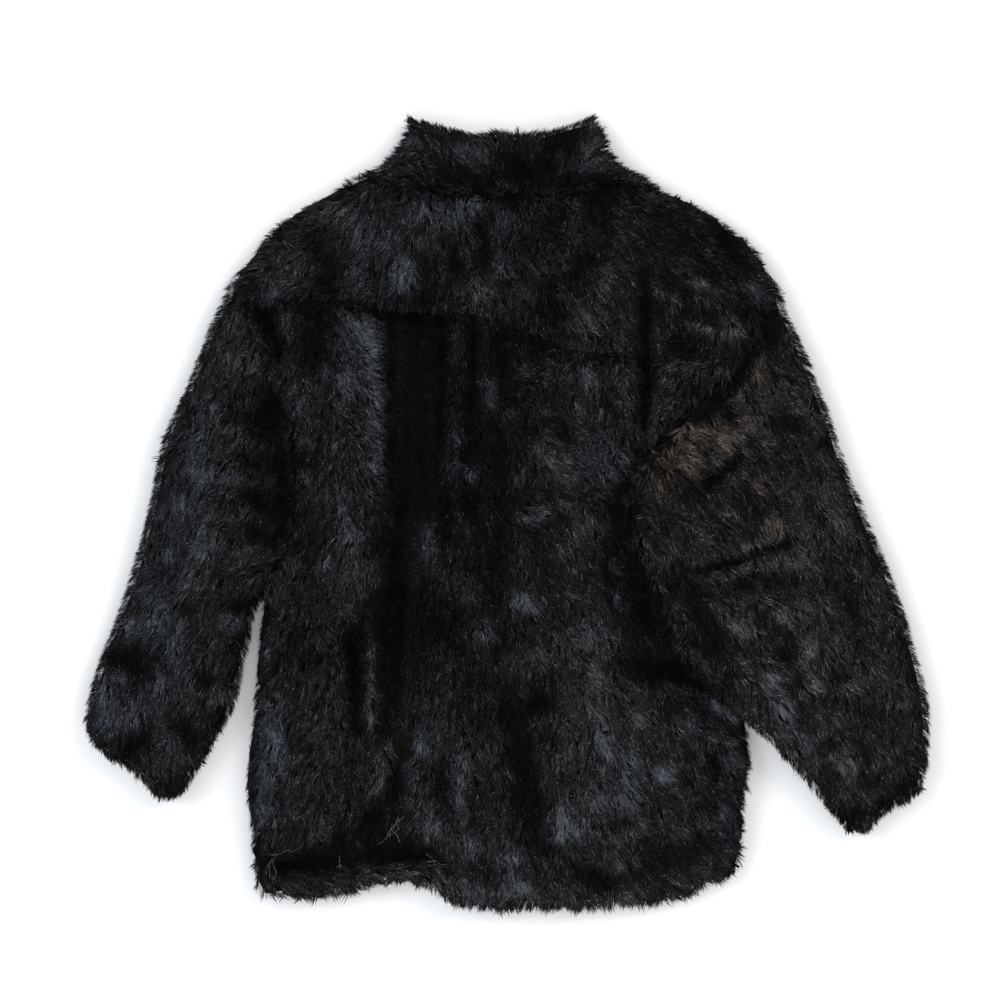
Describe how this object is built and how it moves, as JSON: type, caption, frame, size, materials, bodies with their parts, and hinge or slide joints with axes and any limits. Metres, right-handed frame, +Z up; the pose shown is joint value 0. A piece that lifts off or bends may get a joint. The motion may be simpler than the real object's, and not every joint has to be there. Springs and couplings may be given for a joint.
{
  "type": "faux fur coat",
  "caption": "Long-sleeved faux fur coat with a stand collar and back yoke, lying flat and face down, one sleeve over its side.",
  "frame": {"origin": "on the surface under the middle of the coat's outline, sleeves and collar included", "axes": "+X across the coat to its right as it lies, +Y from the hem to the collar, +Z up from the surface"},
  "size_m": [0.9712, 0.9062, 0.0583],
  "materials": {
    "black_pile": "glossy black faux fur pile about 20 mm long",
    "brownish_pile": "the same black faux fur, which shines a little warmer",
    "black_backing": "matt black knitted backing under the pile",
    "grey_thread": "matt pale grey sewing thread, in the loose ends at the hem"
  },
  "bodies": {
    "root": {"front_left": "black_backing", "front_right": "black_backing", "back": "black_pile", "yoke": "black_pile", "sleeve_left": "black_pile", "sleeve_right": "brownish_pile", "collar": "black_pile"}
  },
  "joints": []
}
